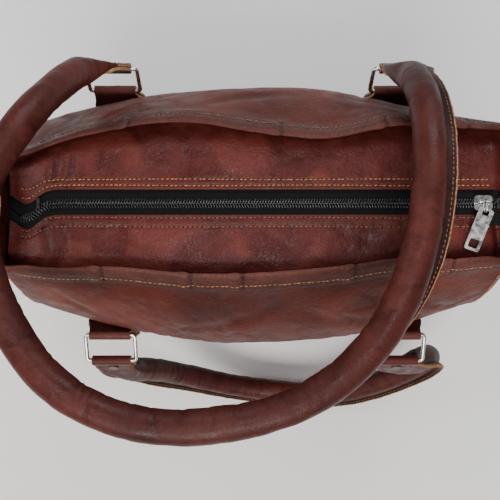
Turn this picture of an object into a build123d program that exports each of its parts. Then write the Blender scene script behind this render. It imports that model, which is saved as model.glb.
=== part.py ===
from build123d import *
import math
import os

os.makedirs("parts", exist_ok=True)

# A stuffed leather tote bag: X along its length, -Y the front, Z up, origin under the base's middle.

# ---- driving dimensions, millimetres and degrees ----
# The body's outline at each height: height, half length, half depth at the middle and at the ends
BODY_SECTIONS = [
    (0, 160, 66, 52),
    (45, 170, 86, 62),
    (110, 176, 99, 68),
    (175, 178, 102, 70),
    (222, 178, 83, 58),
    (262, 178, 53, 40),
]
RIM_Z = 262
LEATHER = 2.0
BASE_THICK = 3.0
SEAM_X = 156
BINDING_HEIGHT = 9.0
BINDING_THICK = 4.2
BINDING_HALF = 172
LINING_GAP = 0.2
LINING_THICK = 0.8
BOARD_LENGTH = 300
BOARD_WIDTH = 90
BOARD_CORNER = 12
BOARD_THICK = 2.5
BIG = 600

ZIP_Z = 248.0
ZIP_SLOT_HALF = 8.5
ZIP_HALF_LENGTH = 168
CHAIN_ENDS = (-149, 166)
TAPE_THICK = 0.6
TAPE_HALF = 15.0
CHAIN_GAP = 0.6
COIL_WIDTH = 3.0
COIL_HEIGHT = 2.0
COIL_ROUND = 0.9
END_STOP_LENGTH = 2.0
RUN_CLEARANCE = 0.3

SLIDER_X = 156
SLIDER_LENGTH = 12.5
SLIDER_WIDTH = 10.4
SLIDER_CORNER = 2.4
PLATE = 1.5
POST_LENGTH = 4.0
POST_WIDTH = 0.6
POST_OFFSET = 3.5
FLANGE_LENGTH = 8.0
BRIDGE_RADIUS = 0.9
BRIDGE_RISE = 3.9
BRIDGE_HALF = 4.6
BRIDGE_SEAT = 0.5
BRIDGE_BEND = 2.0
LINK_RADIUS = 0.6
LINK_HALF_HEIGHT = 2.9
LINK_NEAR = 1.65
LINK_FAR = 6.9
TAB_WIDTH = 10.4
TAB_LENGTH = 27.5
TAB_THICK = 1.6
TAB_TOP = 2.7
TAB_CORNER = 1.6
TAB_RECESS = 0.25
TAB_BORDER = 1.3
RECESS_LENGTH = 14.5
RECESS_MIDDLE = 12.25
HOLE_LENGTH = 3.5
HOLE_WIDTH = 4.4
HOLE_MIDDLE = 0.45
WINDOW_LENGTH = 6.0
WINDOW_BORDER = 2.0
WINDOW_FROM_END = 5.0
CUT_CORNER = 0.8
TAB_SLOPE = 8.5
TAB_YAW = 20

RING_WIDTH = 43
RING_HEIGHT = 26
RING_WIRE = 1.7
RING_CORNER = 2.6
RING_SPACING = {"front": 116.5, "back": 110.5}
RING_PIVOT = {"front": (97, 172), "back": (97, 188)}
RING_ANGLE = {"front": -20, "back": 60}
CHAPE_WIDTH = 34
CHAPE_LAYER = 1.7
CHAPE_FOOT_Z = 148
CHAPE_DEPTH = 26
CHAPE_INNER_DROP = 8
CHAPE_FOOT_INSET = 0.5
CHAPE_FOOT_DROP = 16
CHAPE_TUCK = 30

TUBE_RADIUS = 10.5
CORE_RADIUS = 8.2
CORE_INSET = 24
COVER_WALL = 2.0
STRAP_WIDTH = 32
STRAP_THICK = 5.0
STRAP_REACH = 13
STRAP_CORNER = 1.2
STRAP_ANGLE = {"front": -62, "back": 105}
HOLE_CLEARANCE = 0.1
LOOP_RADIUS = RING_WIRE + HOLE_CLEARANCE + CHAPE_LAYER
RIVET_REACH = 9.0
RIVET_HEAD = 4.0
RIVET_POST = 1.5
RIVET_CAP = 1.2

# The middle line of each rolled handle, from its left end to its right end
HANDLE_ROUTE = {
    "back": [
        (-122, 100, 236), (-131, 78, 268), (-143, 49, 296), (-165, 8, 309), (-165, -34, 311),
        (-147, -80, 311), (-120, -116, 311.5), (-79, -136, 312), (-36, -140, 312), (26, -128, 312),
        (70, -94, 311), (95.5, -46, 310), (105.5, 14, 308), (108.5, 68, 283), (107.5, 95, 240),
    ],
    "front": [
        (-112, -130, 140), (-97, -133, 104), (-70, -145, 60), (-26, -159, 34), (28, -168, 27),
        (82, -169, 35), (128, -151, 60), (160, -130, 88), (158, -118, 114), (130, -127, 138),
    ],
}
OUTWARD = {"front": -1, "back": 1}
SIDE = {"left": -1, "right": 1}


def save(piece, name):
    """Labels a finished piece and writes its file."""
    piece.part.label = name
    export_step(piece.part, f"parts/{name}.step")


def body_form(inset, low, high):
    """The body's outer form drawn in by inset, between two heights."""
    with BuildPart() as form:
        for height, half_length, middle, end in BODY_SECTIONS:
            x = half_length - inset
            y = end - inset
            with BuildSketch(Plane.XY.offset(height)):
                with BuildLine():
                    ThreePointArc((-x, -y), (0, inset - middle), (x, -y))
                    Line((x, -y), (x, y))
                    ThreePointArc((x, y), (0, middle - inset), (-x, y))
                    Line((-x, y), (-x, -y))
                make_face()
        loft()
        with Locations((0, 0, (low + high) / 2)):
            Box(BIG, BIG, high - low, mode=Mode.INTERSECT)
    return form.part


def ring_bars(face):
    """The (y, z) of the ring's pivot bar, and of the far bar that the handle hangs on."""
    reach, height = RING_PIVOT[face]
    turn = math.radians(RING_ANGLE[face])
    span = RING_HEIGHT - 2 * RING_WIRE
    near = (OUTWARD[face] * reach, height)
    far = (OUTWARD[face] * (reach + span * math.cos(turn)), height + span * math.sin(turn))
    return near, far


def bend_radii(points):
    """The largest smooth bend that each corner of a route has room for."""
    radii = []
    for before, corner, after in zip(points, points[1:], points[2:]):
        first = Vector(corner) - Vector(before)
        second = Vector(after) - Vector(corner)
        turn = math.radians(first.get_angle(second))
        radii.append(0.45 * min(first.length, second.length) / math.tan(turn / 2))
    return radii


# ---- leather body: panels, gussets, base, rim bindings, lining ----
shell_outer = body_form(0, 0, RIM_Z)
shell_inner = body_form(LEATHER, 0, RIM_Z)
panel_top = RIM_Z - BINDING_HEIGHT
panel_height = panel_top - BASE_THICK
panel_middle = (panel_top + BASE_THICK) / 2

for face, outward in OUTWARD.items():
    with BuildPart() as panel:
        add(shell_outer)
        add(shell_inner, mode=Mode.SUBTRACT)
        with Locations((0, outward * BIG / 2, panel_middle)):
            Box(2 * SEAM_X, BIG, panel_height, mode=Mode.INTERSECT)
    save(panel, f"{face}_panel")

for side, hand in SIDE.items():
    with BuildPart() as gusset:
        add(shell_outer)
        add(shell_inner, mode=Mode.SUBTRACT)
        with Locations((hand * (SEAM_X + BIG / 2), 0, panel_middle)):
            Box(BIG, BIG, panel_height, mode=Mode.INTERSECT)
    save(gusset, f"side_gusset_{side}")

with BuildPart() as base_panel:
    add(body_form(0, 0, BASE_THICK))
save(base_panel, "base_panel")

binding_inner = body_form(BINDING_THICK, 0, RIM_Z)
for face, outward in OUTWARD.items():
    with BuildPart() as binding:
        add(shell_outer)
        add(binding_inner, mode=Mode.SUBTRACT)
        with Locations((0, outward * BIG / 2, RIM_Z - BINDING_HEIGHT / 2)):
            Box(2 * BINDING_HALF, BIG, BINDING_HEIGHT, mode=Mode.INTERSECT)
    save(binding, f"{face}_rim_binding")

lining_inset = LEATHER + LINING_GAP
lining_outer = body_form(lining_inset, 0, RIM_Z)
lining_inner = body_form(lining_inset + LINING_THICK, 0, RIM_Z)
lining_low = BASE_THICK + LINING_GAP
lining_high = ZIP_Z - TAPE_THICK - LINING_GAP
for face, outward in OUTWARD.items():
    with BuildPart() as lining:
        add(lining_outer)
        add(lining_inner, mode=Mode.SUBTRACT)
        with Locations((0, outward * BIG / 2, (lining_low + lining_high) / 2)):
            Box(BIG, BIG, lining_high - lining_low, mode=Mode.INTERSECT)
    save(lining, f"lining_{face}")

with BuildPart() as base_board:
    with BuildSketch(Plane.XY.offset(lining_low)):
        RectangleRounded(BOARD_LENGTH, BOARD_WIDTH, BOARD_CORNER)
    extrude(amount=BOARD_THICK)
save(base_board, "base_board")

# ---- zip closure: leather panels, tapes, coils, end stops ----
chain_middle = sum(CHAIN_ENDS) / 2
chain_length = CHAIN_ENDS[1] - CHAIN_ENDS[0]
for face, outward in OUTWARD.items():
    with BuildPart() as zip_panel:
        add(body_form(LEATHER, ZIP_Z, ZIP_Z + LEATHER))
        with Locations((0, outward * (ZIP_SLOT_HALF + BIG / 2), ZIP_Z)):
            Box(BIG, BIG, BIG, mode=Mode.INTERSECT)
    save(zip_panel, f"zip_panel_{face}")

    with BuildPart() as tape:
        with Locations((0, outward * (CHAIN_GAP + TAPE_HALF) / 2, ZIP_Z - TAPE_THICK / 2)):
            Box(2 * ZIP_HALF_LENGTH, TAPE_HALF - CHAIN_GAP, TAPE_THICK)
    save(tape, f"zip_tape_{face}")

    with BuildPart() as coil:
        with Locations((chain_middle, outward * (CHAIN_GAP + COIL_WIDTH / 2), ZIP_Z + COIL_HEIGHT / 2)):
            Box(chain_length, COIL_WIDTH, COIL_HEIGHT)
        fillet(coil.edges().filter_by(Axis.X).group_by(Axis.Z)[-1], radius=COIL_ROUND)
    save(coil, f"zip_coil_{face}")

with BuildPart() as zip_end_stops:
    for hand, chain_end in zip(SIDE.values(), CHAIN_ENDS):
        with Locations((chain_end + hand * END_STOP_LENGTH / 2, 0, ZIP_Z + COIL_HEIGHT / 2)):
            Box(END_STOP_LENGTH, 2 * (CHAIN_GAP + COIL_WIDTH), COIL_HEIGHT)
save(zip_end_stops, "zip_end_stops")

# ---- slider, link and pull tab ----
coil_top = ZIP_Z + COIL_HEIGHT
plate_bottom = coil_top + RUN_CLEARANCE
plate_top = plate_bottom + PLATE
under_top = ZIP_Z - TAPE_THICK - RUN_CLEARANCE
flange_bottom = ZIP_Z + RUN_CLEARANCE
flange_inner = CHAIN_GAP + COIL_WIDTH + RUN_CLEARANCE
flange_width = SLIDER_WIDTH / 2 - flange_inner
pivot_z = plate_top + BRIDGE_RISE

with BuildPart() as zip_slider:
    with BuildSketch(Plane.XY.offset(plate_bottom), Plane.XY.offset(under_top - PLATE)):
        with Locations((SLIDER_X, 0)):
            RectangleRounded(SLIDER_LENGTH, SLIDER_WIDTH, SLIDER_CORNER)
    extrude(amount=PLATE)
    with BuildSketch(Plane.XY.offset(under_top)):
        with Locations((SLIDER_X + POST_OFFSET, 0)):
            Rectangle(POST_LENGTH, POST_WIDTH)
    extrude(amount=plate_bottom - under_top)
    for outward in OUTWARD.values():
        flange_y = outward * (flange_inner + flange_width / 2)
        with Locations((SLIDER_X, flange_y, (flange_bottom + plate_bottom) / 2)):
            Box(FLANGE_LENGTH, flange_width, plate_bottom - flange_bottom)
    with BuildLine() as bridge_line:
        FilletPolyline(
            (SLIDER_X - BRIDGE_HALF, 0, plate_top - BRIDGE_SEAT),
            (SLIDER_X - BRIDGE_HALF, 0, pivot_z),
            (SLIDER_X + BRIDGE_HALF, 0, pivot_z),
            (SLIDER_X + BRIDGE_HALF, 0, plate_top - BRIDGE_SEAT),
            radius=BRIDGE_BEND,
        )
    with BuildSketch(Plane(origin=bridge_line.line @ 0, z_dir=bridge_line.line % 0)):
        Circle(BRIDGE_RADIUS)
    sweep(path=bridge_line.line)
save(zip_slider, "zip_slider")

link_plane = Plane(origin=(SLIDER_X, 0, pivot_z), x_dir=(0, -1, 0), z_dir=(-1, 0, 0))
link_start = LINK_HALF_HEIGHT - LINK_NEAR
link_end = LINK_FAR - LINK_HALF_HEIGHT
with BuildPart() as puller_link:
    with BuildLine(link_plane) as link_line:
        Line((link_start, LINK_HALF_HEIGHT), (link_end, LINK_HALF_HEIGHT))
        ThreePointArc((link_end, LINK_HALF_HEIGHT), (LINK_FAR, 0), (link_end, -LINK_HALF_HEIGHT))
        Line((link_end, -LINK_HALF_HEIGHT), (link_start, -LINK_HALF_HEIGHT))
        ThreePointArc((link_start, -LINK_HALF_HEIGHT), (-LINK_NEAR, 0), (link_start, LINK_HALF_HEIGHT))
    with BuildSketch(Plane(origin=link_line.line @ 0, z_dir=link_line.line % 0)):
        Circle(LINK_RADIUS)
    sweep(path=link_line.line)
save(puller_link, "puller_link")

yaw = math.radians(TAB_YAW)
slope = math.radians(TAB_SLOPE)
tab_across = (math.cos(yaw), -math.sin(yaw), 0)
tab_along = (-math.sin(yaw) * math.cos(slope), -math.cos(yaw) * math.cos(slope), -math.sin(slope))
tab_plane = Plane(
    origin=(SLIDER_X, -LINK_FAR, pivot_z),
    x_dir=tab_along,
    z_dir=Vector(tab_across).cross(Vector(tab_along)),
)
with BuildPart() as pull_tab:
    with BuildSketch(tab_plane):
        with Locations(((TAB_LENGTH - TAB_TOP) / 2, 0)):
            RectangleRounded(TAB_LENGTH + TAB_TOP, TAB_WIDTH, TAB_CORNER)
    extrude(amount=TAB_THICK / 2, both=True)
    for level in (-TAB_THICK / 2, TAB_THICK / 2 - TAB_RECESS):
        with BuildSketch(tab_plane.offset(level)):
            with Locations((RECESS_MIDDLE, 0)):
                RectangleRounded(RECESS_LENGTH, TAB_WIDTH - 2 * TAB_BORDER, CUT_CORNER)
        extrude(amount=TAB_RECESS, mode=Mode.SUBTRACT)
    with BuildSketch(tab_plane):
        with Locations((HOLE_MIDDLE, 0)):
            RectangleRounded(HOLE_LENGTH, HOLE_WIDTH, CUT_CORNER)
        with Locations((TAB_LENGTH - WINDOW_FROM_END, 0)):
            RectangleRounded(WINDOW_LENGTH, TAB_WIDTH - 2 * WINDOW_BORDER, CUT_CORNER)
    extrude(amount=TAB_THICK, both=True, mode=Mode.SUBTRACT)
save(pull_tab, "pull_tab")

# ---- chapes and rings ----
tuck_out = LOOP_RADIUS * math.cos(math.radians(CHAPE_TUCK))
tuck_down = LOOP_RADIUS * math.sin(math.radians(CHAPE_TUCK))
for face, outward in OUTWARD.items():
    near, far = ring_bars(face)
    turn = math.radians(RING_ANGLE[face])
    for side, hand in SIDE.items():
        ring_x = hand * RING_SPACING[face]

        with BuildPart() as chape:
            with BuildSketch(Plane.YZ.offset(ring_x - CHAPE_WIDTH / 2)):
                with BuildLine():
                    Polyline(
                        (near[0], near[1] + LOOP_RADIUS),
                        (near[0] - outward * CHAPE_DEPTH, near[1] - CHAPE_INNER_DROP),
                        (near[0] - outward * CHAPE_DEPTH, CHAPE_FOOT_Z),
                        (near[0] - outward * CHAPE_FOOT_INSET, CHAPE_FOOT_Z),
                        (near[0] - outward * CHAPE_FOOT_INSET, near[1] - CHAPE_FOOT_DROP),
                        (near[0] + outward * tuck_out, near[1] - tuck_down),
                        close=True,
                    )
                make_face()
                with Locations(near):
                    Circle(LOOP_RADIUS)
                    Circle(RING_WIRE + HOLE_CLEARANCE, mode=Mode.SUBTRACT)
            extrude(amount=CHAPE_WIDTH)
            add(shell_outer, mode=Mode.SUBTRACT)
        save(chape, f"chape_{face}_{side}")

        out_dir = (0, outward * math.cos(turn), math.sin(turn))
        ring_plane = Plane(origin=(ring_x, near[0], near[1]), x_dir=(1, 0, 0),
                           z_dir=Vector(1, 0, 0).cross(Vector(out_dir)))
        half = RING_WIDTH / 2 - RING_WIRE
        span = RING_HEIGHT - 2 * RING_WIRE
        corner = RING_CORNER
        bulge = corner * (1 - math.cos(math.pi / 4))
        with BuildPart() as ring:
            with BuildLine(ring_plane) as ring_line:
                Line((0, 0), (half - corner, 0))
                ThreePointArc((half - corner, 0), (half - bulge, bulge), (half, corner))
                Line((half, corner), (half, span - corner))
                ThreePointArc((half, span - corner), (half - bulge, span - bulge), (half - corner, span))
                Line((half - corner, span), (corner - half, span))
                ThreePointArc((corner - half, span), (bulge - half, span - bulge), (-half, span - corner))
                Line((-half, span - corner), (-half, corner))
                ThreePointArc((-half, corner), (bulge - half, bulge), (corner - half, 0))
                Line((corner - half, 0), (0, 0))
            with BuildSketch(Plane(origin=ring_line.line @ 0, z_dir=ring_line.line % 0)):
                Circle(RING_WIRE)
            sweep(path=ring_line.line)
        save(ring, f"ring_{face}_{side}")

# ---- rolled handles: cover, core, folded end straps, rivets ----
for face, outward in OUTWARD.items():
    far = ring_bars(face)[1]
    points = HANDLE_ROUTE[face]
    radii = bend_radii(points)
    with BuildLine() as route:
        FilletPolyline(*points, radius=radii)
    line = route.wires()[0]
    print(f"{face} handle tube: length {line.length:.0f}, bend radii", [round(r) for r in radii])

    with BuildPart() as cover:
        with BuildSketch(Plane(origin=line @ 0, z_dir=line % 0)):
            Circle(TUBE_RADIUS)
            Circle(TUBE_RADIUS - COVER_WALL, mode=Mode.SUBTRACT)
        sweep(path=line)
    save(cover, f"{face}_handle_cover")

    with BuildPart() as core:
        with BuildSketch(Plane(origin=line @ 0, z_dir=line % 0)):
            Circle(CORE_RADIUS)
        sweep(path=line)
        with Locations(line @ 0, line @ 1):
            Sphere(CORE_INSET, mode=Mode.SUBTRACT)
    save(core, f"{face}_handle_core")

    strap_turn = math.radians(STRAP_ANGLE[face])
    across = Vector(1, 0, 0)
    along = Vector(0, outward * math.cos(strap_turn), math.sin(strap_turn))
    rivet_planes = []
    for side, hand in SIDE.items():
        bar = Vector(hand * RING_SPACING[face], *far)
        tube_end = line @ (0 if hand < 0 else 1)
        tube_way = line % 0 if hand < 0 else -(line % 1)
        rivet_plane = Plane(origin=bar + along * RIVET_REACH, x_dir=across, z_dir=across.cross(along))
        rivet_planes.append(rivet_plane)
        with BuildPart() as end_strap:
            with BuildSketch(Plane(origin=bar - across * (STRAP_WIDTH / 2), x_dir=along, z_dir=across)):
                Circle(LOOP_RADIUS)
                with Locations((STRAP_REACH / 2, 0)):
                    Rectangle(STRAP_REACH, STRAP_THICK)
                Circle(RING_WIRE + HOLE_CLEARANCE, mode=Mode.SUBTRACT)
            extrude(amount=STRAP_WIDTH)
            with BuildSketch(Plane(origin=bar + along * STRAP_REACH, x_dir=across, z_dir=along)):
                RectangleRounded(STRAP_WIDTH, STRAP_THICK, STRAP_CORNER)
            with BuildSketch(Plane(origin=tube_end, x_dir=across, z_dir=tube_way)):
                Circle(TUBE_RADIUS)
            loft()
            with BuildSketch(rivet_plane):
                Circle(RIVET_POST)
            extrude(amount=STRAP_THICK, both=True, mode=Mode.SUBTRACT)
        save(end_strap, f"{face}_handle_end_{side}")

    with BuildPart() as rivets:
        for rivet_plane in rivet_planes:
            with BuildSketch(rivet_plane):
                Circle(RIVET_POST)
            extrude(amount=STRAP_THICK / 2, both=True)
            for level in (-STRAP_THICK / 2 - RIVET_CAP, STRAP_THICK / 2):
                with BuildSketch(rivet_plane.offset(level)):
                    Circle(RIVET_HEAD)
                extrude(amount=RIVET_CAP)
    save(rivets, f"{face}_handle_rivets")
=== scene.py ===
import math

import bmesh
import bpy
import numpy as np
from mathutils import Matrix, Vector, noise


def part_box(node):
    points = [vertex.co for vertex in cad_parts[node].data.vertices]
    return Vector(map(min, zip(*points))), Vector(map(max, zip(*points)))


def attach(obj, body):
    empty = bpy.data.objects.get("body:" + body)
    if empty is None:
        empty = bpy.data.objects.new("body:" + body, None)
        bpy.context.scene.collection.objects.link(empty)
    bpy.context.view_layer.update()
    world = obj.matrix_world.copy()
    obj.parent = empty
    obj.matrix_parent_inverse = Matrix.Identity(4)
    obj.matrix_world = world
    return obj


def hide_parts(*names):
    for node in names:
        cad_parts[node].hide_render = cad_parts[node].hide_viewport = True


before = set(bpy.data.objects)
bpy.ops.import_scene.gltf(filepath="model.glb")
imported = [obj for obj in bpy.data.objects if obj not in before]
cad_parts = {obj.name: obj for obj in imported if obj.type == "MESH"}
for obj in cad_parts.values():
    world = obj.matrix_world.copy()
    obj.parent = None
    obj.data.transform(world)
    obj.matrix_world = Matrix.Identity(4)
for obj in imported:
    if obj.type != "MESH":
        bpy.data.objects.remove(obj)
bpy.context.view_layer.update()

MM = 0.001
rng = np.random.default_rng(7)

# ---- the body's shape, in metres: the same outline as the frame's panels ----
SECTION_Z = np.array([0, 45, 110, 175, 222, 262]) * MM
HALF_LENGTH = np.array([160, 170, 176, 178, 178, 178]) * MM
MIDDLE_DEPTH = np.array([66, 86, 99, 102, 83, 53]) * MM
END_DEPTH = np.array([52, 62, 68, 70, 58, 40]) * MM
RIM_Z = 262 * MM
BASE_TOP = 3 * MM
LEATHER = 2.0 * MM
CORNER_RADIUS = 13 * MM
SEAM_TURN = math.radians(62)
OUTWARD = {"front": -1, "back": 1}
SIDE = {"left": -1, "right": 1}

# Control points of the handles' middle lines between their straps, millimetres
HANDLE_ROUTE = {
    "back": [
        (-122, 100, 236), (-131, 78, 268), (-143, 49, 296), (-165, 8, 309), (-165, -34, 311),
        (-147, -80, 311), (-120, -116, 311.5), (-79, -136, 312), (-36, -140, 312), (26, -128, 312),
        (70, -94, 311), (95.5, -46, 310), (105.5, 14, 308), (108.5, 68, 283), (107.5, 95, 240),
    ],
    "front": [
        (-112, -130, 140), (-97, -133, 104), (-70, -145, 60), (-26, -159, 34), (28, -168, 27),
        (82, -169, 35), (128, -151, 60), (160, -130, 88), (158, -118, 114), (130, -127, 138),
    ],
}
# The rims' outer edges as they lie: x and distance from the middle, millimetres
RIM_LINE = {
    "front": [(-178, 41), (-170, 43), (-131, 47), (-104, 45), (-47, 50), (-14, 50), (29, 48), (63, 45),
              (96, 39), (129, 41), (163, 38), (178, 38)],
    "back": [(-178, 28), (-160, 31), (-131, 43), (-104, 49), (-71, 55), (-37, 55), (-4, 49), (49, 43),
             (96, 54), (160, 51), (178, 48)],
}
TUBE_RADIUS = 10.5 * MM
STRAP_ANGLE = {"front": -62, "back": 105}
STRAP_REACH = 13 * MM
RING_WIRE = 1.7 * MM


# ---------------------------------------------------------------- mesh tools

def build_mesh(name, verts, faces, materials, face_materials=None, smooth=True):
    """A mesh object from plain lists, with its material slots."""
    mesh = bpy.data.meshes.new(name)
    mesh.from_pydata([tuple(v) for v in verts], [], [tuple(f) for f in faces])
    for material in materials:
        mesh.materials.append(material)
    if face_materials is not None:
        mesh.polygons.foreach_set("material_index", np.asarray(face_materials, dtype=np.int32))
    mesh.polygons.foreach_set("use_smooth", [smooth] * len(mesh.polygons))
    mesh.update()
    piece = bpy.data.objects.new(name, mesh)
    bpy.context.scene.collection.objects.link(piece)
    return piece


def grid_faces(rows, cols, start=0, wrap=False):
    """Quads over a rows by cols grid of vertices; wrap joins the last column to the first."""
    faces = []
    last = cols if wrap else cols - 1
    for r in range(rows - 1):
        for c in range(last):
            d = (c + 1) % cols
            a = start + r * cols
            b = start + (r + 1) * cols
            faces.append((a + c, a + d, b + d, b + c))
    return faces


def shell_faces(rows, cols):
    """Faces of a closed sheet: its outer grid, its inner grid turned over, and the four edges."""
    inner = rows * cols
    faces = grid_faces(rows, cols)
    faces += [tuple(reversed(f)) for f in grid_faces(rows, cols, inner)]
    edge = [c for c in range(cols)]
    edge += [r * cols + cols - 1 for r in range(1, rows)]
    edge += [(rows - 1) * cols + c for c in range(cols - 2, -1, -1)]
    edge += [r * cols for r in range(rows - 2, 0, -1)]
    for a, b in zip(edge, edge[1:] + edge[:1]):
        faces.append((b, a, inner + a, inner + b))
    return faces


def surface_normals(grid):
    """Unit normals of a (rows, cols, 3) grid."""
    along = np.gradient(grid, axis=1)
    up = np.gradient(grid, axis=0)
    normal = np.cross(along, up)
    return normal / (np.linalg.norm(normal, axis=2, keepdims=True) + 1e-12)


def noise_field(points, scale, octaves=3, seed=0.0):
    """Fractal noise, about -1 to 1, at each point; scale is the size of its features in metres."""
    flat = points.reshape(-1, 3) / scale
    values = [noise.fractal(Vector((p[0] + seed, p[1] - seed, p[2] + 2 * seed)), 1.0, 2.0, octaves)
              for p in flat]
    return np.array(values).reshape(points.shape[:-1])


def ridge_field(points, scale, seed=0.0):
    """Narrow creases: 1 on a crease's line, falling to 0 beside it."""
    field = noise_field(points, scale, 2, seed)
    return np.exp(-(field / 0.055) ** 2)


def slack_folds(points, seed=0.0):
    """Soft broken folds of slack leather: short, mostly upright and slanting, 0 to 1."""
    slant = points * np.array([2.4, 2.4, 0.8]) + points[..., ::-1] * np.array([0.5, 0, 0.35])
    field = noise_field(slant, 46 * MM, 3, seed)
    broken = np.clip(0.4 + 1.6 * noise_field(points, 70 * MM, 2, seed + 9), 0, 1)
    return np.exp(-(field / 0.11) ** 2) * broken


def smoothstep(low, high, x):
    t = np.clip((x - low) / (high - low), 0, 1)
    return t * t * (3 - 2 * t)


def rounded_power(values, power):
    """A power of each value that keeps its sign, for the corners of a squarish section."""
    return np.sign(values) * np.abs(values) ** power


def set_mask(piece, name, values):
    """Stores one value per vertex for the materials to read."""
    attribute = piece.data.attributes.new(name, "FLOAT", "POINT")
    attribute.data.foreach_set("value", np.asarray(values, dtype=np.float32).ravel())


def outline(z):
    """Half length, middle half depth and end half depth of the body at height z."""
    scaled = np.asarray(z) / RIM_Z
    return [np.polyval(np.polyfit(SECTION_Z / RIM_Z, values, 5), scaled)
            for values in (HALF_LENGTH, MIDDLE_DEPTH, END_DEPTH)]


def arc_radius(half, sag):
    """Radius of the arc that spans half to each side and rises by sag."""
    return (half * half + sag * sag) / (2 * sag)


def arc_depth(x, half, middle, end):
    """Depth of the outline's arc at x."""
    radius = arc_radius(half, middle - end)
    return middle - radius + np.sqrt(np.maximum(radius * radius - x * x, 1e-9))


def rim_wave(x, face):
    """How far a rim strays outward from its even arc, with the soft waves of worn leather."""
    where, reach = np.array(RIM_LINE[face]).T * MM
    slack = np.mean([np.interp(x + shift * MM, where, reach) for shift in (-12, -6, 0, 6, 12)], axis=0)
    return slack - arc_depth(x, HALF_LENGTH[-1], MIDDLE_DEPTH[-1], END_DEPTH[-1])


# ---------------------------------------------------------------- materials

def new_material(name, color, roughness, metallic=0.0):
    """A principled material with its plain values on the shader's own sockets."""
    material = bpy.data.materials.new(name)
    material.use_nodes = True
    shader = material.node_tree.nodes["Principled BSDF"]
    shader.inputs["Base Color"].default_value = (*color, 1)
    shader.inputs["Roughness"].default_value = roughness
    shader.inputs["Metallic"].default_value = metallic
    return material, material.node_tree, shader


def add_node(tree, kind, **settings):
    """A node with its input values or properties set by name."""
    node = tree.nodes.new(kind)
    for key, value in settings.items():
        if key in node.inputs:
            node.inputs[key].default_value = value
        else:
            setattr(node, key, value)
    return node


def object_space(tree):
    """Coordinates on the object itself, which travel with it."""
    return tree.nodes.new("ShaderNodeTexCoord").outputs["Object"]


def tint(color, factor):
    return tuple(factor * c for c in color)


def noise_node(tree, coordinate, scale, detail=4.0, distortion=0.0):
    node = add_node(tree, "ShaderNodeTexNoise", Scale=scale, Detail=detail, Distortion=distortion)
    tree.links.new(coordinate, node.inputs["Vector"])
    return node.outputs["Fac"]


def ramp(tree, value, stops):
    """A colour ramp over a value; stops are (position, colour)."""
    node = tree.nodes.new("ShaderNodeValToRGB")
    elements = node.color_ramp.elements
    while len(elements) < len(stops):
        elements.new(0.5)
    for element, (position, color) in zip(elements, stops):
        element.position = position
        element.color = (*color, 1)
    tree.links.new(value, node.inputs["Fac"])
    return node.outputs["Color"]


def mix_color(tree, factor, first, second, blend="MIX"):
    node = add_node(tree, "ShaderNodeMix", data_type="RGBA", blend_type=blend)
    for socket, value in ((node.inputs[0], factor), (node.inputs[6], first), (node.inputs[7], second)):
        if isinstance(value, bpy.types.NodeSocket):
            tree.links.new(value, socket)
        elif isinstance(value, tuple):
            socket.default_value = (*value, 1)
        else:
            socket.default_value = value
    return node.outputs[2]


def remap(tree, value, low, high, to_low, to_high):
    limits = {"From Min": low, "From Max": high, "To Min": to_low, "To Max": to_high}
    node = add_node(tree, "ShaderNodeMapRange", **limits)
    tree.links.new(value, node.inputs["Value"])
    return node.outputs["Result"]


def bump(tree, height, distance, strength, below=None):
    node = add_node(tree, "ShaderNodeBump", Distance=distance, Strength=strength)
    tree.links.new(height, node.inputs["Height"])
    if below is not None:
        tree.links.new(below, node.inputs["Normal"])
    return node.outputs["Normal"]


def attribute(tree, name):
    return add_node(tree, "ShaderNodeAttribute", attribute_name=name).outputs["Fac"]


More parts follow.
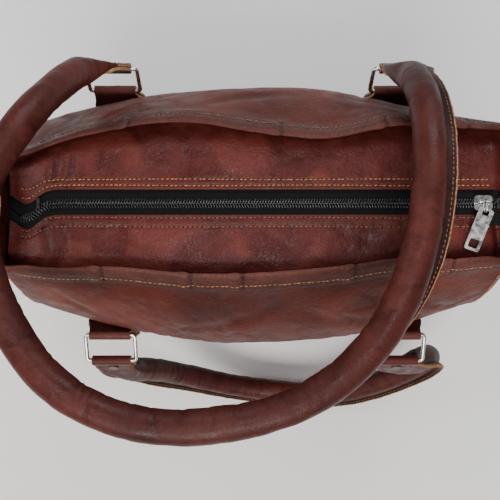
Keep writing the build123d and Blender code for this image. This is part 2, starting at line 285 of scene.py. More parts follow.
def leather(name, dark, middle, bright, roughness=0.42, grain=1.0, gloss=0.2):
    """Waxed pull-up leather: cloudy colour, lighter where rubbed, painted shade darkening its creases, fine
    crackle.
    """
    material, tree, shader = new_material(name, middle, roughness)
    where = object_space(tree)
    clouds = noise_node(tree, where, 17, 5, 0.6)
    mottle = noise_node(tree, where, 75, 4, 0.3)
    specks = noise_node(tree, where, 420, 3)
    color = ramp(tree, clouds, [(0.30, dark), (0.50, middle), (0.72, bright)])
    shade = ramp(tree, mottle, [(0.30, (0.62, 0.60, 0.60)), (0.52, (1, 1, 1)), (0.75, (1.22, 1.16, 1.12))])
    color = mix_color(tree, 0.6, color, shade, "MULTIPLY")
    flecks = ramp(tree, specks, [(0.35, (0.78, 0.76, 0.76)), (0.60, (1.08, 1.06, 1.05))])
    color = mix_color(tree, 0.6, color, flecks, "MULTIPLY")
    rubbed = remap(tree, attribute(tree, "wear"), 0, 1, 0, 0.6)
    color = mix_color(tree, rubbed, color, tuple(c * f for c, f in zip(bright, (1.45, 1.5, 1.3))))
    # painted shade: the crease mask darkens creases, seams, folds and gaps toward the dark colour
    shaded_creases = remap(tree, attribute(tree, "crease_shade"), 0, 1, 0, 0.6)
    color = mix_color(tree, shaded_creases, color, tint(dark, 0.4))
    tree.links.new(color, shader.inputs["Base Color"])
    rough = remap(tree, mottle, 0.3, 0.7, roughness - 0.09, roughness + 0.13)
    tree.links.new(rough, shader.inputs["Roughness"])
    pores = add_node(tree, "ShaderNodeTexVoronoi", Scale=620.0, feature="SMOOTH_F1")
    tree.links.new(where, pores.inputs["Vector"])
    crackle = add_node(tree, "ShaderNodeTexVoronoi", Scale=300.0, feature="DISTANCE_TO_EDGE")
    strayed = add_node(tree, "ShaderNodeVectorMath", operation="ADD")
    wander = add_node(tree, "ShaderNodeVectorMath", operation="SCALE", Scale=0.006)
    cloud = add_node(tree, "ShaderNodeTexNoise", Scale=120.0, Detail=3.0)
    tree.links.new(where, cloud.inputs["Vector"])
    tree.links.new(cloud.outputs["Color"], wander.inputs[0])
    tree.links.new(where, strayed.inputs[0])
    tree.links.new(wander.outputs[0], strayed.inputs[1])
    tree.links.new(strayed.outputs[0], crackle.inputs["Vector"])
    lines = remap(tree, crackle.outputs["Distance"], 0, 0.12, 0, 1)
    normal = bump(tree, noise_node(tree, where, 150, 5, 1.2), 0.0009 * grain, 0.5)
    normal = bump(tree, lines, 0.00022 * grain, 0.6, normal)
    normal = bump(tree, pores.outputs["Distance"], 0.00030 * grain, 0.6, normal)
    tree.links.new(normal, shader.inputs["Normal"])
    shader.inputs["Specular IOR Level"].default_value = gloss
    return material


def woven(name, color, count, roughness=0.85, sheen=0.3):
    """Plain woven cloth with count threads to the metre."""
    material, tree, shader = new_material(name, color, roughness)
    where = object_space(tree)
    heights = []
    for direction in ("X", "Y"):
        threads = add_node(tree, "ShaderNodeTexWave", Scale=count / 6.3, Distortion=0.6,
                           bands_direction=direction)
        tree.links.new(where, threads.inputs["Vector"])
        heights.append(threads.outputs["Fac"])
    both = add_node(tree, "ShaderNodeMath", operation="MULTIPLY")
    for index, height in enumerate(heights):
        tree.links.new(height, both.inputs[index])
    shade = ramp(tree, both.outputs[0], [(0.0, tint(color, 0.55)), (0.7, tint(color, 1.5))])
    tree.links.new(shade, shader.inputs["Base Color"])
    tree.links.new(bump(tree, both.outputs[0], 0.0003, 0.6), shader.inputs["Normal"])
    shader.inputs["Sheen Weight"].default_value = sheen
    shader.inputs["Specular IOR Level"].default_value = 0.12
    return material


def thread(name, color):
    """Waxed sewing thread with a twist."""
    material, tree, shader = new_material(name, color, 0.55)
    where = object_space(tree)
    stops = [(0.30, tint(color, 0.45)), (0.55, color), (0.75, tint(color, 1.5))]
    shade = ramp(tree, noise_node(tree, where, 260, 3), stops)
    tree.links.new(shade, shader.inputs["Base Color"])
    twist = add_node(tree, "ShaderNodeTexWave", Scale=400.0, bands_direction="DIAGONAL")
    tree.links.new(where, twist.inputs["Vector"])
    tree.links.new(bump(tree, twist.outputs["Fac"], 0.0002, 0.5), shader.inputs["Normal"])
    shader.inputs["Sheen Weight"].default_value = 0.2
    return material


def nickel(name, color, roughness):
    """Plated metal with fine scratches and dulled patches."""
    material, tree, shader = new_material(name, color, roughness, 1.0)
    where = object_space(tree)
    dull = noise_node(tree, where, 240, 5, 0.5)
    rough = remap(tree, dull, 0.3, 0.7, roughness - 0.08, roughness + 0.16)
    tree.links.new(rough, shader.inputs["Roughness"])
    shade = ramp(tree, dull, [(0.30, tint(color, 0.62)), (0.60, color)])
    tree.links.new(shade, shader.inputs["Base Color"])
    tree.links.new(bump(tree, noise_node(tree, where, 900, 4), 0.00008, 0.35), shader.inputs["Normal"])
    return material


def nylon(name):
    """Black nylon monofilament."""
    material, tree, shader = new_material(name, (0.012, 0.013, 0.014), 0.34)
    where = object_space(tree)
    worn = noise_node(tree, where, 500, 3)
    shade = ramp(tree, worn, [(0.35, (0.012, 0.013, 0.014)), (0.70, (0.045, 0.045, 0.044))])
    tree.links.new(shade, shader.inputs["Base Color"])
    tree.links.new(remap(tree, worn, 0.3, 0.7, 0.18, 0.34), shader.inputs["Roughness"])
    return material


def cut_edge(name):
    """Raw cut edge of the leather: pale fibres."""
    color = (0.36, 0.17, 0.075)
    material, tree, shader = new_material(name, color, 0.8)
    where = object_space(tree)
    fibres = noise_node(tree, where, 700, 5, 0.4)
    shade = ramp(tree, fibres, [(0.30, (0.12, 0.05, 0.025)), (0.55, color), (0.75, (0.52, 0.28, 0.14))])
    tree.links.new(shade, shader.inputs["Base Color"])
    tree.links.new(bump(tree, fibres, 0.0004, 0.7), shader.inputs["Normal"])
    return material


# painted shade: the flange is handle leather, painted much darker for the shade it stands in beside the tube
SHADED_FLANGE_LEATHER = leather("shaded_flange_leather", (0.016, 0.0060, 0.0055), (0.026, 0.0090, 0.0080),
                 (0.040, 0.0130, 0.0110), 0.5, 0.5, 0.12)
BODY = leather("body_leather", (0.052, 0.0115, 0.0085), (0.090, 0.0180, 0.0125),
               (0.130, 0.0270, 0.0170), 0.46, 0.8, 0.14)
CLOSURE = leather("closure_leather", (0.068, 0.0112, 0.0090), (0.080, 0.0135, 0.0110),
                  (0.096, 0.0180, 0.0148), 0.40, 0.7, 0.22)
BINDING = leather("binding_leather", (0.045, 0.0120, 0.0095), (0.072, 0.0190, 0.0145),
                  (0.105, 0.0280, 0.0200), 0.46, 1.0, 0.22)
HANDLE = leather("handle_leather", (0.038, 0.0090, 0.0078), (0.064, 0.0145, 0.0115),
                 (0.094, 0.0215, 0.0160), 0.42, 0.4, 0.17)
EDGE = cut_edge("cut_edge")
THREAD = thread("orange_thread", (0.44, 0.155, 0.028))
# painted shade: a darker copy of the orange thread, for stitches that sit out of the light
SHADED_THREAD = thread("shaded_thread", (0.21, 0.072, 0.024))
TAPE = woven("zip_tape_weave", (0.0055, 0.0055, 0.0062), 1500, 0.9, 0.08)
NYLON = nylon("zip_coil_nylon")
NICKEL = nickel("nickel", (0.74, 0.72, 0.68), 0.26)
OLD_NICKEL = nickel("dulled_nickel", (0.20, 0.15, 0.13), 0.45)
# painted shade: a near-black finish for the dots that stand in for the dark inside of the needle holes
NEEDLE_HOLE_SHADE = new_material("needle_hole_shade", (0.006, 0.004, 0.004), 0.9)[0]
LINING = woven("lining_weave", (0.20, 0.15, 0.10), 900)
BOARD = woven("board_fibre", (0.16, 0.13, 0.10), 500, 0.9, 0.0)
CORD = woven("core_cotton", (0.55, 0.50, 0.42), 400, 0.9, 0.2)


# ---------------------------------------------------------------- building blocks

def finish_mesh(piece):
    """Turns every face outward and marks sharp edges."""
    work = bmesh.new()
    work.from_mesh(piece.data)
    bmesh.ops.recalc_face_normals(work, faces=work.faces)
    work.to_mesh(piece.data)
    work.free()
    piece.data.set_sharp_from_angle(angle=math.radians(50))
    piece.data.update()
    return piece


def place(piece, body, slot, *nodes):
    """Rides the piece on its body and hides the CAD nodes that it stands for; slot, the finish's name, is not
    used.
    """
    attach(piece, body)
    if nodes:
        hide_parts(*nodes)
    return piece


def shell(name, outer, inner, materials, masks=None):
    """A closed sheet between two grids; its borders take the second material."""
    rows, cols = outer.shape[:2]
    verts = np.concatenate([outer.reshape(-1, 3), inner.reshape(-1, 3)])
    faces = shell_faces(rows, cols)
    sheet_count = 2 * (rows - 1) * (cols - 1)
    border = [0] * sheet_count + [1] * (len(faces) - sheet_count)
    piece = build_mesh(name, verts, faces, materials, border)
    for key, values in (masks or {}).items():
        set_mask(piece, key, np.concatenate([values.ravel(), values.ravel()]))
    return finish_mesh(piece)


def folded_strip(name, grid, half_thick, ripple, material, worn_rows, wear):
    """A strip of leather about its middle grid, rubbed over some rows. Returns it and its two sides."""
    normal = surface_normals(grid)
    outer = grid + normal * (half_thick + ripple)[:, :, None]
    inner = grid - normal * half_thick
    rubbed = np.zeros(grid.shape[:2])
    rubbed[worn_rows] = wear
    return shell(name, outer, inner, [material, EDGE], {"wear": rubbed}), outer, inner


def loft(name, rings, materials, column_materials=None, masks=None):
    """A closed skin through (stations, columns, 3) closed sections, with a cap at each end."""
    stations, cols = rings.shape[:2]
    faces = grid_faces(stations, cols, 0, wrap=True)
    kinds = [0] * len(faces) if column_materials is None else list(column_materials)
    faces.append(tuple(range(cols)))
    faces.append(tuple(range((stations - 1) * cols, stations * cols)))
    piece = build_mesh(name, rings.reshape(-1, 3), faces, materials, kinds + [0, 0])
    for key, values in (masks or {}).items():
        set_mask(piece, key, values)
    return finish_mesh(piece)


def tube_template(along, height, width, sides=6):
    """Rings of a small bar: offsets along it, their height, and their radius."""
    turn = np.linspace(0, 2 * math.pi, sides, endpoint=False)
    rings = []
    for a, h, r in zip(along, height, width):
        rings.append(np.stack([np.full(sides, a), r * np.cos(turn), h + r * np.sin(turn)], axis=1))
    count = len(along)
    faces = grid_faces(count, sides, 0, wrap=True)
    faces.append(tuple(range(sides)))
    faces.append(tuple(range((count - 1) * sides, count * sides)))
    return np.concatenate(rings), faces


def repeat(name, template, places, materials):
    """One mesh of many copies of a template; each place is (origin, along, side, up, scale)."""
    points, faces = template
    verts = []
    all_faces = []
    for index, (origin, along, side, up, scale) in enumerate(places):
        frame_axes = np.stack([along, side, up])
        verts.append(origin + (points * scale) @ frame_axes)
        start = index * len(points)
        all_faces += [tuple(start + i for i in face) for face in faces]
    return finish_mesh(build_mesh(name, np.concatenate(verts), all_faces, materials))


def unit(vectors):
    return vectors / (np.linalg.norm(vectors, axis=-1, keepdims=True) + 1e-12)


def at_distance(values, reach, s):
    """The point or direction at a distance s along a line of them, whose distances are reach."""
    return np.array([np.interp(s, reach, column) for column in values.T])


def arc_length(points):
    steps = np.linalg.norm(np.diff(points, axis=0), axis=1)
    return np.concatenate([[0], np.cumsum(steps)])


STITCH = tube_template(
    np.array([-0.50, -0.40, -0.18, 0.18, 0.40, 0.50]),
    np.array([-0.16, 0.03, 0.09, 0.09, 0.03, -0.16]),
    np.array([0.06, 0.14, 0.17, 0.17, 0.14, 0.06]),
)
# a flat dot laid on the leather, darkened as painted shade for a needle hole
NEEDLE_DOT = tube_template(
    np.array([-0.5, -0.42, 0.42, 0.5]),
    np.zeros(4),
    np.array([0.15, 0.45, 0.45, 0.15]),
)
# Pitch and stitch length of each kind of seam
SEAM_SEWING = (3.6 * MM, 2.6 * MM)
RIM_SEWING = (3.3 * MM, 2.5 * MM)
ZIP_SEWING = (3.2 * MM, 2.35 * MM)
FLANGE_SEWING = (3.2 * MM, 2.0 * MM)
STRAP_SEWING = (3.4 * MM, 2.4 * MM)
CHAPE_SEWING = (3.4 * MM, 2.5 * MM)
HOLE_AHEAD = 1.5 * MM
HOLE_SIZE = {"front": 1.0 * MM, "back": 0.75 * MM}


def stitch_places(line, normals, pitch, length, lean=0.10):
    """Places for stitches an even pitch apart along a line of points with surface normals."""
    reach = arc_length(line)
    count = int((reach[-1] - pitch) / pitch)
    places = []
    for index in range(count):
        s = pitch * (index + 1) + 0.08 * pitch * rng.standard_normal()
        ahead = at_distance(line, reach, s + 0.4 * length)
        behind = at_distance(line, reach, s - 0.4 * length)
        up = unit(at_distance(normals, reach, s))
        along = unit(ahead - behind)
        side = unit(np.cross(up, along))
        turn = lean + 0.05 * rng.standard_normal()
        along = math.cos(turn) * along + math.sin(turn) * side
        side = unit(np.cross(up, along))
        size = length * (1 + 0.06 * rng.standard_normal())
        places.append((at_distance(line, reach, s), along, side, np.cross(along, side), size))
    return places


def crease_dips(x, y, creases):
    """Depth of drawn creases over a flat layout: each is (x0, y0, x1, y1, half width, depth) in mm."""
    depth = np.zeros_like(x)
    for x0, y0, x1, y1, wide, deep in creases:
        ax, ay = x / MM - x0, y / MM - y0
        bx, by = x1 - x0, y1 - y0
        span = math.hypot(bx, by)
        t = np.clip((ax * bx + ay * by) / (bx * bx + by * by), 0, 1)
        bow = 0.06 * span * np.sin(math.pi * t)
        away = np.hypot(ax - t * bx - bow * by / span, ay - t * by + bow * bx / span)
        fade = np.sin(math.pi * np.clip(0.12 + 0.76 * t, 0, 1))
        depth += deep * MM * fade * np.exp(-(away / wide) ** 2)
    return depth


# ---------------------------------------------------------------- body panels

def outline_corner(z):
    """At height z: half length, middle depth, radius of the long arc, and the corner's centre."""
    half, middle, end = outline(z)
    radius = arc_radius(half, middle - end)
    centre_x = half - CORNER_RADIUS
    centre_depth = middle - radius + np.sqrt((radius - CORNER_RADIUS) ** 2 - centre_x ** 2)
    return half, middle, radius, centre_x, centre_depth


def panel_outline(z, u):
    """x and depth of the panel's surface at height z; u runs from -1 to 1, seam to seam."""
    half, middle, radius, centre_x, centre_depth = outline_corner(z)
    corner_turn = np.arcsin(centre_x / (radius - CORNER_RADIUS))
    arc = radius * corner_turn
    reach = np.abs(u) * (arc + CORNER_RADIUS * (SEAM_TURN - corner_turn))
    on_arc = reach <= arc
    turn = np.where(on_arc, reach / radius, corner_turn + (reach - arc) / CORNER_RADIUS)
    x = np.where(on_arc, radius * np.sin(turn), centre_x + CORNER_RADIUS * np.sin(turn))
    corner_depth = centre_depth + CORNER_RADIUS * np.cos(turn)
    depth = np.where(on_arc, middle - radius + radius * np.cos(turn), corner_depth)
    return np.sign(u) * x, depth


def rim_share(z):
    """How much of the rim's stray reaches down to height z."""
    return smoothstep(205 * MM, 255 * MM, z)


def away_from_edges(u, z, side, top, foot):
    """1 in the middle of a panel, falling to 0 at its seams, its top and its foot."""
    return smoothstep(1.0, side, np.abs(u)) * smoothstep(PANEL_TOP, top, z) * smoothstep(BASE_TOP, foot, z)


def foot_rub(z):
    """How rubbed the leather is toward the bag's foot."""
    return smoothstep(24 * MM, 4 * MM, z)


def body_leather(name, flat, rise, wear, crease_shade, node):
    """A leather of the body: its even surface with a relief. Returns the outer surface."""
    surface = flat + surface_normals(flat) * rise[:, :, None]
    inner = surface - surface_normals(surface) * LEATHER
    piece = shell(name, surface, inner, [BODY, EDGE], {"wear": wear, "crease_shade": crease_shade})
    place(piece, "bag", "body_leather", node)
    return surface


def body_depth(x, z, face):
    """Depth of the panel at x and height z, with the rim's stray."""
    half, middle, end = outline(z)
    return arc_depth(x, half, middle, end) + rim_wave(x, face) * rim_share(z)


PANEL_ROWS = 118
PANEL_COLS = 236
PANEL_TOP = 253 * MM
SEAM_DEPTH = 0.9 * MM
SEAM_ROW = 0.962
LINING_DEPTH = 2.6 * MM
LINING_THICK = 0.8 * MM
PANEL_CREASES = {
    "front": [(-60, 205, 20, 238, 5, 1.4), (30, 232, 95, 208, 6, 1.6), (-140, 235, -112, 205, 4, 1.5),
              (110, 236, 150, 200, 4.5, 1.8), (-20, 60, 60, 40, 9, 2.2), (-150, 60, -110, 22, 7, 2.4),
              (148, 70, 118, 20, 7, 2.6), (-118, 145, -60, 118, 7, 1.8), (118, 145, 70, 112, 7, 1.8)],
    "back": [(-40, 236, 34, 214, 5, 1.4), (60, 212, 120, 236, 5, 1.3), (-150, 206, -128, 240, 4, 1.6),
             (20, 56, -70, 38, 9, 2.2), (150, 62, 112, 20, 7, 2.4), (-148, 72, -116, 24, 7, 2.4),
             (107, 148, 52, 120, 7, 1.8), (-107, 148, -60, 116, 7, 1.8)],
}
body_stitches = []
shaded_stitches = []
needle_hole_shades = []

for face, outward in OUTWARD.items():
    z_rows = np.linspace(BASE_TOP, PANEL_TOP, PANEL_ROWS)[:, None] * np.ones((1, PANEL_COLS))
    u = np.ones((PANEL_ROWS, 1)) * np.linspace(-1, 1, PANEL_COLS)[None, :] * -outward
    x, depth = panel_outline(z_rows, u)
    depth += rim_wave(x, face) * rim_share(z_rows)
    flat = np.stack([x, outward * depth, z_rows], axis=2)
    inside_edges = away_from_edges(u, z_rows, 0.93, 240 * MM, 16 * MM)
    soft = 2.6 * noise_field(flat, 105 * MM, 2, 3.1 * outward) + 0.9 * noise_field(flat, 38 * MM, 3, 8.7)
    creases = slack_folds(flat, 1.7 * outward)
    drawn = crease_dips(x, z_rows, PANEL_CREASES[face])
    seam = np.exp(-((1 - np.abs(u)) / 0.006) ** 2)
    pucker = np.exp(-(1 - np.abs(u)) / 0.09) * np.sin(z_rows / (2.7 * MM) + 4 * soft) * inside_edges
    rise = (soft - 0.8 * creases + 0.28 * pucker) * MM * inside_edges
    rise = rise - drawn * inside_edges - SEAM_DEPTH * seam
    wear = smoothstep(0.25, 1.3, soft) * inside_edges * 0.55 + 0.5 * foot_rub(z_rows)
    # painted shade in the folds, the drawn creases and the seam grooves
    crease_shade = np.clip(0.3 * creases * inside_edges + drawn / (5 * MM) + 0.8 * seam, 0, 1)
    surface = body_leather(f"{face}_panel_leather", flat, rise, wear, crease_shade, f"{face}_panel")
    fine_normal = surface_normals(surface)
    lining_outer = (surface - fine_normal * LINING_DEPTH)[3:-2:3, 6:-6:3]
    lining_inner = lining_outer - surface_normals(lining_outer) * LINING_THICK
    lining = shell(f"{face}_lining_cloth", lining_outer, lining_inner, [LINING, LINING])
    place(lining, "bag", "lining_fabric", f"lining_{face}")
    for edge in (SEAM_ROW, -SEAM_ROW):
        column = int(round((edge + 1) / 2 * (PANEL_COLS - 1)))
        body_stitches += stitch_places(surface[4:-3, column], fine_normal[4:-3, column], *SEAM_SEWING)

GUSSET_COLS = 96
GUSSET_FOLD = {"left": 1.5 * MM, "right": 7.5 * MM}
for side, hand in SIDE.items():
    z_rows = np.linspace(BASE_TOP, PANEL_TOP, PANEL_ROWS)[:, None] * np.ones((1, GUSSET_COLS))
    w = np.ones((PANEL_ROWS, 1)) * np.linspace(-1, 1, GUSSET_COLS)[None, :] * hand
    half, middle, radius, centre_x, centre_depth = outline_corner(z_rows)
    corner = CORNER_RADIUS * (math.pi / 2 - SEAM_TURN)
    reach = np.abs(w) * (centre_depth + corner)
    flat_side = reach <= centre_depth
    turn = np.where(flat_side, math.pi / 2, math.pi / 2 - (reach - centre_depth) / CORNER_RADIUS)
    y = np.where(flat_side, reach, centre_depth + CORNER_RADIUS * np.cos(turn)) * np.sign(w)
    x = centre_x + CORNER_RADIUS * np.sin(turn)
    waves = np.where(w > 0, rim_wave(hand * half, "back"), rim_wave(hand * half, "front"))
    y = y + np.sign(w) * waves * rim_share(z_rows) * np.abs(w)
    fold = GUSSET_FOLD[side] * np.exp(-(y / (15 * MM)) ** 2) * smoothstep(140 * MM, 246 * MM, z_rows)
    puff = 3.0 * MM * np.cos(0.5 * math.pi * w) * smoothstep(200 * MM, 120 * MM, z_rows)
    puff *= smoothstep(BASE_TOP, 60 * MM, z_rows)
    flat = np.stack([hand * (x - fold + puff), y, z_rows], axis=2)
    inside_edges = away_from_edges(w, z_rows, 0.86, 238 * MM, 18 * MM)
    soft = 1.5 * noise_field(flat, 60 * MM, 3, 5.2 * hand) + 0.5 * noise_field(flat, 22 * MM, 3, 2.2)
    creases = slack_folds(flat, 6.1 * hand)
    seam = np.exp(-((1 - np.abs(w)) / 0.02) ** 2)
    rise = (soft - 0.6 * creases) * MM * inside_edges - SEAM_DEPTH * seam
    wear = smoothstep(0.3, 1.2, soft) * inside_edges * 0.5 + 0.5 * foot_rub(z_rows)
    # painted shade in the folds, the seams and the inward fold at the top
    crease_shade = np.clip(0.3 * creases * inside_edges + 0.8 * seam + fold / (16 * MM), 0, 1)
    body_leather(f"gusset_leather_{side}", flat, rise, wear, crease_shade, f"side_gusset_{side}")

# ---- base: a slab with soft edges, on the outline of the body's foot ----
BASE_COLS = 160
BASE_POWER = 9
# Insets from the outline and heights of the slab's section, millimetres, inside to underneath
BASE_SECTION = [(60, 3.0), (6, 3.0), (2.6, 3.0), (2.0, 2.6), (1.6, 1.8), (1.7, 1.0), (2.4, 0.35),
                (4.0, 0.05), (8.0, 0.0), (60, 0.0)]
base_turns = np.linspace(0, 2 * math.pi, BASE_COLS, endpoint=False)
half, middle, end = outline(BASE_TOP)
base_x = half * rounded_power(np.cos(base_turns), 2 / BASE_POWER)
base_y = arc_depth(base_x, half, middle, end) * rounded_power(np.sin(base_turns), 2 / BASE_POWER)
base_rings = []
for inset, z in BASE_SECTION:
    shrink = 1 - inset * MM / half
    shrink_y = 1 - inset * MM / middle if inset < 50 else 0.3
    base_rings.append(np.stack([base_x * shrink, base_y * shrink_y, np.full(BASE_COLS, z * MM)], axis=1))
base_rings = np.array(base_rings)
base = loft("base_leather", base_rings, [BODY], masks={"wear": 0.6 * np.ones(base_rings.shape[:2])})
place(base, "bag", "body_leather", "base_panel")

# ---------------------------------------------------------------- rims

RIM_STEP = 1.2 * MM
RIM_HALF = 173 * MM
RIM_LOW = 250.5 * MM
RIM_THICK = 4.6 * MM
RIM_PROUD = 0.9 * MM
RIM_PLEATS = {"front": (-109, -49, -14, 62, 128), "back": (-92, 12, 84, 139)}
# Shares of the binding's thickness inward and of its height up, round from the outside
RIM_SECTION = [(0.00, 0.00), (0.00, 0.16), (0.00, 0.32), (0.00, 0.48), (0.01, 0.64), (0.04, 0.78),
               (0.14, 0.90), (0.32, 0.98), (0.50, 1.00), (0.68, 0.98), (0.86, 0.90), (0.96, 0.78),
               (1.00, 0.62), (1.00, 0.46), (1.00, 0.30), (1.00, 0.12), (0.94, -0.10), (0.50, -0.14),
               (0.08, -0.08)]
STITCH_DROP = 0.25

rim_stations = np.arange(-RIM_HALF, RIM_HALF + RIM_STEP / 2, RIM_STEP)
for face, outward in OUTWARD.items():
    x = rim_stations
    top = RIM_Z - 7 * MM * smoothstep(0.86, 1.0, np.abs(x) / RIM_HALF) ** 1.5
    top += 0.5 * MM * np.sin(x / (21 * MM) + outward) - 0.5 * MM
    pleat = np.zeros_like(x)
    gap = np.zeros_like(x)
    for where in RIM_PLEATS[face]:
        pleat += 1.1 * np.exp(-((x / MM - where) / 3.2) ** 2)
        gap += np.exp(-((x / MM - where - 5.2) / 1.1) ** 2)
    rings = []
    for q, h in RIM_SECTION:
        z = RIM_LOW + (top - RIM_LOW) * h
        lean = body_depth(x, np.minimum(z, RIM_Z), face)
        bulge = (pleat - 0.9 * gap) * MM * (1 if q < 0.5 else -0.5) * smoothstep(-0.2, 0.5, h)
        stitched = -0.35 * MM * math.exp(-((h - STITCH_DROP) / 0.10) ** 2) * (1 if q < 0.5 else -1)
        depth = lean + RIM_PROUD - RIM_THICK * q + bulge + stitched
        rings.append(np.stack([x, outward * depth, z - 0.5 * gap * MM * max(h, 0)], axis=1))
    rings = np.transpose(np.array(rings), (1, 0, 2))
    ripple = noise_field(rings, 16 * MM, 3, 4.4 * outward)
    middle_line = rings.mean(axis=1, keepdims=True)
    away = unit(rings - middle_line)
    rings = rings + away * (0.35 * MM * ripple)[:, :, None]
    height = np.array([h for q, h in RIM_SECTION])[None, :]
    wear = np.maximum(0.0, (height - 0.55) * 1.6) * (0.55 + 0.45 * ripple)
    # painted shade in the gaps beside the pleats and under the binding
    crease_shade = np.clip(gap[:, None] + 0.7 * (height < 0.1), 0, 1)
    rim = loft(f"{face}_rim_leather", rings, [BINDING], masks={"wear": np.clip(wear, 0, 1), "crease_shade": crease_shade})
    place(rim, "bag", "binding_leather", f"{face}_rim_binding")
    for column, turn_out in ((2, 1), (14, -1)):
        line = rings[8:-8, column]
        across = np.tile([0.0, outward * turn_out, 0.35], (len(line), 1))
        # the back rim's outer row takes the darker copy of the thread as painted shade
        row = shaded_stitches if face == "back" and turn_out > 0 else body_stitches
        row += stitch_places(line, unit(across), *RIM_SEWING)

# ---------------------------------------------------------------- zip closure

ZIP_EDGE = {"front": 7.6 * MM, "back": 9.4 * MM}
ZIP_ROWS = {"front": (10.0, 16.2), "back": (12.4, 16.6)}
CLOSURE_TOP = {"front": 250.1 * MM, "back": 250.9 * MM}
CLOSURE_HALF = 173 * MM
CLOSURE_STEP = 1.1 * MM
CLOSURE_THICK = 2.2 * MM
LIP = 0.9 * MM
# Shares of the lip's reach toward the zip and heights in millimetres, from under it to its top
LIP_SECTION = [(0.45, -2.0), (0.85, -1.5), (1.0, -1.0), (0.85, -0.45), (0.5, -0.12)]
CLOSURE_CREASES = {
    "front": [(-98, 22, -70, 36, 3.2, 0.6), (8, 20, 30, 38, 2.8, 0.5), (60, 20, 96, 36, 4.0, 0.8),
              (-138, 12, -128, 38, 2.6, 1.3), (-150, 10, -142, 34, 2.8, 1.9)],
    "back": [(-131, 12, -126, 40, 2.2, 1.9), (-141, 10, -138, 36, 2.4, 1.9), (-4, 22, 38, 38, 3.4, 0.6),
             (86, 22, 112, 40, 3.6, 0.7)],
}


def zip_shift(x):
    """How far the zip's line strays toward the front, where its closed-in end is folded."""
    return -9.8 * MM * np.exp(-((x + 160 * MM) / (11.5 * MM)) ** 2)


def zip_dip(x):
    """How far the zip's line sinks at its two ends."""
    return 10 * MM * smoothstep(-140 * MM, -171 * MM, x) + 5 * MM * smoothstep(163 * MM, 173 * MM, x)


def closure_reach(x, face):
    """Distance from the zip's middle at which a closure strip meets its panel."""
    return body_depth(x, 250 * MM, face) - 2.6 * MM


def closure_point(face, x, y):
    """Top surface of a closure strip; y is the distance from the zip's middle."""
    outward = OUTWARD[face]
    edge = ZIP_EDGE[face]
    rim = closure_reach(x, face)
    v = np.clip((y - edge) / (rim - edge), 0, 1)
    z = CLOSURE_TOP[face] - 0.8 * MM * np.exp(-(v / 0.10) ** 2) - 5.5 * MM * smoothstep(0.60, 1.0, v) ** 1.2
    flat = np.stack([x, outward * y, np.zeros_like(x)], axis=-1)
    soft = noise_field(flat, 34 * MM, 3, 2.9 * outward)
    fine = noise_field(flat, 9 * MM, 3, 5.5 * outward)
    web = ridge_field(flat, 15 * MM, 3.3 * outward)
    inside = smoothstep(0.04, 0.25, v) * smoothstep(1.0, 0.85, v)
    drawn = crease_dips(x, y, CLOSURE_CREASES[face])
    z += (1.5 * MM * np.minimum(soft - 0.25, 0.15) - 0.16 * MM * (fine + 0.6) - 0.12 * MM * web) * inside
    z -= drawn
    for row in ZIP_ROWS[face]:
        near = np.exp(-((y / MM - row) / 1.1) ** 2)
        pucker = np.exp(-((y / MM - row) / 2.6) ** 2) * np.cos(x / (1.08 * MM) + 3 * soft)
        z -= (0.42 * near + 0.14 * (pucker + 1) * smoothstep(0.02, 0.2, v)) * MM
    z -= zip_dip(x) * (1 - 0.45 * v)
    if face == "front":
        z -= 9 * MM * np.exp(-((x - 167 * MM - 0.12 * y) / (6 * MM)) ** 2) * smoothstep(4 * MM, 16 * MM, y)
    y_out = outward * y + zip_shift(x) * (1 - v) ** 1.5
    # painted shade along the crackle web and in the drawn creases
    crease_shade = np.clip(0.25 * web * inside + drawn / (2.6 * MM), 0, 1)
    wear = smoothstep(-0.05, 0.35, soft) * inside
    return np.stack([x, y_out, z], axis=-1), crease_shade, wear


